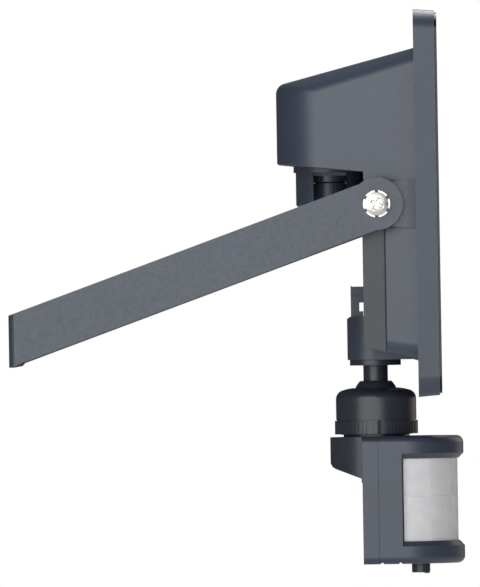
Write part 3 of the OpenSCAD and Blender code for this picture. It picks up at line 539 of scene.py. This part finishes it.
# Top and bottom of each row, as shares of the height, and how many small lenses it has.
LENS_ROWS = [(0.00, 0.20, 6), (0.20, 0.46, 6), (0.46, 0.73, 10), (0.73, 1.00, 6)]
LENS_SWEEP = radians(184)
RING_PITCH = 1.0 * MM
RING_DEPTH = 0.10 * MM
GROOVE_WIDTH = 0.3 * MM
GROOVE_DEPTH = 0.08 * MM
# Between a round window (0) and one with fully flat facets (1).
FLATTENING = 0.4
TINY = 1e-9


def lens_relief(angle, down):
    top, low, count = next(row for row in LENS_ROWS if down <= row[1] + TINY)
    height = LENS_HIGH.z - LENS_LOW.z
    cell = LENS_SWEEP / count
    local = (angle + LENS_SWEEP / 2) % cell - cell / 2
    flat = FLATTENING * LENS_R * (1 - cos(cell / 2) / cos(local))
    across = local * LENS_R
    along = (down - (top + low) / 2) * height
    to_border = min(cell * LENS_R / 2 - abs(across), (low - top) * height / 2 - abs(along))
    if to_border < GROOVE_WIDTH:
        return flat + GROOVE_DEPTH
    return flat + RING_DEPTH * ((hypot(across, along) / RING_PITCH) % 1)


print("groove depth mm", round(lens_relief(0, LENS_ROWS[0][1]) / MM, 3))

# %% Make the lens
LENS_GRID = (108, 260)


def lens_sheet(radius, relief):
    rows, columns = LENS_GRID
    sheet = []
    for r in range(rows + 1):
        down = r / rows
        z = LENS_HIGH.z + (LENS_LOW.z - LENS_HIGH.z) * down
        row = []
        for c in range(columns + 1):
            angle = LENS_SWEEP * (c / columns - 0.5)
            reach = radius - (lens_relief(angle, down) if relief else 0)
            row.append((LENS_AXIS_X + reach * cos(angle), reach * sin(angle), z))
        sheet.append(row)
    return sheet


lens_mesh = shell_mesh(
    "fresnel_window", lens_sheet(LENS_R, True), lens_sheet(LENS_R - LENS_T, False))
place_piece("fresnel_window", lens_mesh, milky_polyethylene, "milky_polyethylene",
            "sensor_head", "fresnel_lens")

# %% [markdown]
# ## The reflector
# The tray round the LEDs throws their side light forward. A smooth mirror would show every LED as a
# hard spot on the wall, so the real one is dimpled: shallow hammered hollows a few millimetres wide
# mix the light. The sheet runs round the tray from its small end to its large end, and each point
# sinks by a rounded dimple pattern of staggered rows.

# %% Outline of the tray at one depth
REFLECTOR_LOW, REFLECTOR_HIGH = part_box("reflector")
LED_LOW, LED_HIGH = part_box("led_board")
REFLECTOR_T = 1.2 * MM
DIMPLE_PITCH = 4.2 * MM
DIMPLE_DEPTH = 0.22 * MM
SLACK = 1e-12


def rounded_outline(half_y, half_z, radius, steps):
    """Evenly spaced points round a rounded rectangle, each with its outward direction."""
    straight_y, straight_z = 2 * (half_y - radius), 2 * (half_z - radius)
    arc = pi * radius / 2
    pieces = [("z", straight_z), ("arc", arc), ("y", straight_y), ("arc", arc)] * 2
    total = sum(length for kind, length in pieces)
    outline, walked = [], 0.0
    y, z, heading = half_y, -straight_z / 2, pi / 2
    starts = []
    for kind, length in pieces:
        starts.append((walked, kind, y, z, heading))
        if kind == "arc":
            cy, cz = y - radius * sin(heading), z + radius * cos(heading)
            heading += pi / 2
            y, z = cy + radius * sin(heading), cz - radius * cos(heading)
        else:
            y, z = y + length * cos(heading), z + length * sin(heading)
        walked += length
    for i in range(steps):
        s = total * i / steps
        start, kind, y0, z0, h0 = [part for part in starts if part[0] <= s + SLACK][-1]
        if kind == "arc":
            h = h0 + (s - start) / radius
            cy, cz = y0 - radius * sin(h0), z0 + radius * cos(h0)
            outline.append((cy + radius * sin(h), cz - radius * cos(h), sin(h), -cos(h)))
        else:
            step = s - start
            outline.append((y0 + step * cos(h0), z0 + step * sin(h0), sin(h0), -cos(h0)))
    return outline


print("tray mm", [round(c / MM, 1) for c in REFLECTOR_HIGH - REFLECTOR_LOW])


# %% One dimple
def dimple(along, across):
    """How deep a point lies in its dimple. Every other row is shifted by half a dimple."""
    row = floor(across / DIMPLE_PITCH)
    u = ((along / DIMPLE_PITCH + 0.5 * (row % 2)) % 1) - 0.5
    v = (across / DIMPLE_PITCH) % 1 - 0.5
    return DIMPLE_DEPTH * max(0.0, 1 - (u * u + v * v) / 0.25)


print("middle of a dimple mm", round(dimple(DIMPLE_PITCH / 2, DIMPLE_PITCH / 2) / MM, 2))

# %% Make the reflector
REFLECTOR_GRID = (46, 480)
# The length that the dimples are counted along, once round. It isn't a whole number of pitches,
# so one dimple in each row is cut short where the ring closes.
REFLECTOR_ROUND = 0.47
BOARD_MARGIN = 2 * MM
# Corner radius at the small end, and how much less it is at the large end.
CORNER_MM, CORNER_LESS_MM = 6, 1.5
# An inner wall's corner is tighter by this share of the wall.
CORNER_OFFSET = 0.8


def reflector_sheet(offset, dimpled):
    rows, columns = REFLECTOR_GRID
    small_y = (LED_HIGH.y - LED_LOW.y) / 2 + BOARD_MARGIN - offset
    small_z = (LED_HIGH.z - LED_LOW.z) / 2 + BOARD_MARGIN - offset
    large_y = (REFLECTOR_HIGH.y - REFLECTOR_LOW.y) / 2 - offset
    large_z = (REFLECTOR_HIGH.z - REFLECTOR_LOW.z) / 2 - offset
    middle_z = (REFLECTOR_LOW.z + REFLECTOR_HIGH.z) / 2
    depth = REFLECTOR_HIGH.x - REFLECTOR_LOW.x
    slant = hypot(depth, large_y - small_y)
    sheet = []
    for r in range(rows + 1):
        t = r / rows
        outline = rounded_outline(
            small_y + (large_y - small_y) * t, small_z + (large_z - small_z) * t,
            (CORNER_MM - CORNER_LESS_MM * t) * MM - offset * CORNER_OFFSET, columns)
        row = []
        for i, (y, z, out_y, out_z) in enumerate(outline):
            along = REFLECTOR_ROUND * i / columns
            sink = dimple(along, slant * t) if dimpled and 0 < r < rows else 0
            row.append((REFLECTOR_LOW.x + depth * t, y + sink * out_y, middle_z + z + sink * out_z))
        sheet.append(row)
    return sheet


reflector_mesh = shell_mesh("dimpled_reflector", reflector_sheet(REFLECTOR_T, True),
                            reflector_sheet(0, False), wrap=True)
place_piece("dimpled_reflector", reflector_mesh, metallised_film, "metallised_plastic",
            "lamp", "reflector")

# %% [markdown]
# ## LED packages
# Each LED is a small white ceramic body with a round well of yellow phosphor. The CAD block only
# marks its size. The package here has a chamfered body, a rim round the well and a slightly domed
# phosphor filling. All share one mesh object, because they are soldered to one board. Their places
# come from the CAD node itself: vertices that lie within a gap of each other form a group, and each
# group's middle carries one package. A CAD block is wider than the gap, so its two ends form two
# groups. The forty blocks therefore carry eighty packages, in touching pairs 7 mm wide, where one
# package of 3.5 mm on each block was meant.

# %% Find the package places
def group_middles(node, gap=3 * MM):
    centres = []
    for vertex in NODES[node].data.vertices:
        near = next((c for c in centres if (Vector(c[0]) / c[1] - vertex.co).length < gap), None)
        if near is None:
            centres.append([vertex.co.copy(), 1])
        else:
            near[0] += vertex.co
            near[1] += 1
    return [total / count for total, count in centres]


CHIP_LOW, CHIP_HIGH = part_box("led_chips")
PACKAGE_PLACES = group_middles("led_chips")
print("packages", len(PACKAGE_PLACES))

# %% Sizes of one package
phosphor = grained_finish("yellow_phosphor", "#E3B93C", 0.4, 0.01, 0.35, 0.5, 0.03)
LED_HALF_Y, LED_HALF_Z = 1.75 * MM, 1.4 * MM
LED_TALL = CHIP_HIGH.x - CHIP_LOW.x
WELL_R = 1.1 * MM
LED_SIDES = 24
# Rings of the square body: height as a share of the package's, and a scale.
BODY_RINGS = [(0, 1.0), (0.8, 1.0), (1, 0.9)]
# Rings of the round well: height as a share of the package's, and a share of the well's radius.
WELL_RINGS = [(1, 1), (0.7, 0.92), (0.82, 0.6), (0.86, 0.2)]
print("package mm", [round(c / MM, 2) for c in (2 * LED_HALF_Y, 2 * LED_HALF_Z, LED_TALL)])


# %% Points and faces of one package
def led_points_at(centre):
    turns = [2 * pi * (i + 0.5) / LED_SIDES for i in range(LED_SIDES)]
    points = []
    for share, scale in BODY_RINGS:
        for a in turns:
            reach = 1 / max(abs(cos(a)), abs(sin(a)))
            points.append((CHIP_LOW.x + LED_TALL * share,
                           centre.y + LED_HALF_Y * scale * reach * cos(a),
                           centre.z + LED_HALF_Z * scale * reach * sin(a)))
    for share, radius_share in WELL_RINGS:
        radius = WELL_R * radius_share
        for a in turns:
            points.append((CHIP_LOW.x + LED_TALL * share,
                           centre.y + radius * cos(a), centre.z + radius * sin(a)))
    return points


def led_faces_from(start):
    """Faces of a package whose first point is start, and whether each one is phosphor."""
    rings = len(BODY_RINGS) + len(WELL_RINGS)
    faces, yellow = [], []
    for ring in range(rings - 1):
        for i in range(LED_SIDES):
            n = (i + 1) % LED_SIDES
            a, b = start + ring * LED_SIDES, start + (ring + 1) * LED_SIDES
            faces.append((a + i, a + n, b + n, b + i))
            yellow.append(ring > len(BODY_RINGS))
    faces.append(tuple(start + i for i in reversed(range(LED_SIDES))))
    yellow.append(False)
    faces.append(tuple(start + (rings - 1) * LED_SIDES + i for i in range(LED_SIDES)))
    yellow.append(True)
    return faces, yellow


# %% Repeat it on the board
led_points, led_faces, led_yellow = [], [], []
for led_centre in PACKAGE_PLACES:
    package_faces, package_yellow = led_faces_from(len(led_points))
    led_points += led_points_at(led_centre)
    led_faces += package_faces
    led_yellow += package_yellow
led_mesh = bpy.data.meshes.new("led_packages")
led_mesh.from_pydata(led_points, [], led_faces)
place_piece("led_packages", led_mesh, white_mask, "led_phosphor", "lamp", "led_chips")
led_mesh.materials.append(phosphor)
for face, is_yellow in zip(led_mesh.polygons, led_yellow):
    face.material_index = 1 if is_yellow else 0

# %% [markdown]
# ## Studio
# The look comes from a dark studio with one wide softbox in front. Flat sides mirror the softbox
# and turn mid grey, and as soon as a surface turns away by more than some forty degrees it mirrors
# the dark room and falls to near black, which gives the lamp its crisp dark edges. A narrow light
# overhead grazes the top of the frame. Two weak fills keep the glass side and the back from being
# lost. The room itself glows a little, and it shows as plain white only where the
# camera looks past the object.

# %% Softbox, overhead light and fills
# Place as seen from the lamp's middle and size, both in metres, then watts and colour.
LAMP_MIDDLE = (CAD_BOX[0] + CAD_BOX[1]) / 2
LIGHTS = {
    "softbox": ((-0.6, -2.15, 0.1), (3.0, 2.2), 49, "#FFFFFF"),
    "overhead_light": ((0.1, 0.4, 1.3), (0.3, 1.8), 13, "#FFFFFF"),
    "front_fill": ((2.2, 2.4, 0.9), (2.0, 2.0), 14, "#FFF6EE"),
    "back_fill": ((-1.6, 2.8, 0.8), (2.0, 2.0), 22, "#FFDCB8"),
}


def area_light(name, place, target, size, watts, tint):
    data = bpy.data.lights.new(name, "AREA")
    data.shape = "RECTANGLE"
    data.size, data.size_y = size
    data.energy = watts
    data.color = linear(tint)[:3]
    light = bpy.data.objects.new(name, data)
    light.location = place
    light.rotation_euler = (Vector(target) - Vector(place)).to_track_quat("-Z", "Y").to_euler()
    light.visible_camera = False
    bpy.context.scene.collection.objects.link(light)
    return light


for name, (offset, size, watts, tint) in LIGHTS.items():
    light = area_light(name, LAMP_MIDDLE + Vector(offset), LAMP_MIDDLE, size, watts, tint)
    # The back fill lights the far side without a mirror image of itself in the plastic.
    light.visible_glossy = name != "back_fill"
print("watts in all", sum(watts for offset, size, watts, tint in LIGHTS.values()))

# %% A dim room that looks white
ROOM_GLOW = 0.05
world = bpy.data.worlds.new("studio")
world.use_nodes = True
bpy.context.scene.world = world
world.node_tree.nodes.clear()
rays = add_node(world, "ShaderNodeLightPath")
dim = add_node(world, "ShaderNodeBackground", None, {"Strength": ROOM_GLOW})
white = add_node(world, "ShaderNodeBackground", None, {"Color": linear("#FFFFFF")})
either = add_node(world, "ShaderNodeMixShader", None, {
    "Fac": rays.outputs["Is Camera Ray"], 1: dim.outputs[0], 2: white.outputs[0]})
add_node(world, "ShaderNodeOutputWorld", None, {"Surface": either.outputs[0]})
bpy.context.scene.view_settings.view_transform = "Standard"
print("room glow", ROOM_GLOW)

# %% [markdown]
# ## Floor
# The lamp hangs on a wall, so nothing rests on the floor. A pale round floor a hand's width below
# it catches a soft shadow in the views from above.

# %% Pale floor
FLOOR_DROP = 120 * MM
FLOOR_R = 1.6
FLOOR_SIDES = 96
FLOOR_MOTTLE_MM = 60
floor_paint = new_finish("pale_floor")
floor_place = add_node(floor_paint, "ShaderNodeTexCoord").outputs["Object"]
floor_noise = add_node(floor_paint, "ShaderNodeTexNoise", None, {
    "Vector": floor_place, "Scale": 1 / (FLOOR_MOTTLE_MM * MM), "Detail": 3.0})
floor_tone = add_node(floor_paint, "ShaderNodeMapRange", None, {
    "Value": floor_noise.outputs["Fac"], "To Min": 0.80, "To Max": 0.84})
floor_shader = add_node(floor_paint, "ShaderNodeBsdfPrincipled", None, {
    "Base Color": floor_tone.outputs["Result"], "Roughness": 0.7})
add_node(floor_paint, "ShaderNodeOutputMaterial", None, {"Surface": floor_shader.outputs[0]})
floor_mesh = bpy.data.meshes.new("floor")
floor_turns = [2 * pi * i / FLOOR_SIDES for i in range(FLOOR_SIDES)]
floor_mesh.from_pydata([(FLOOR_R * cos(a), FLOOR_R * sin(a), 0) for a in floor_turns], [],
                       [tuple(range(FLOOR_SIDES))])
floor_mesh.materials.append(floor_paint)
floor_plate = bpy.data.objects.new("floor", floor_mesh)
floor_plate.location = (LAMP_MIDDLE.x, LAMP_MIDDLE.y, CAD_BOX[0].z - FLOOR_DROP)
bpy.context.scene.collection.objects.link(floor_plate)
print("floor z", round(floor_plate.location.z, 4))
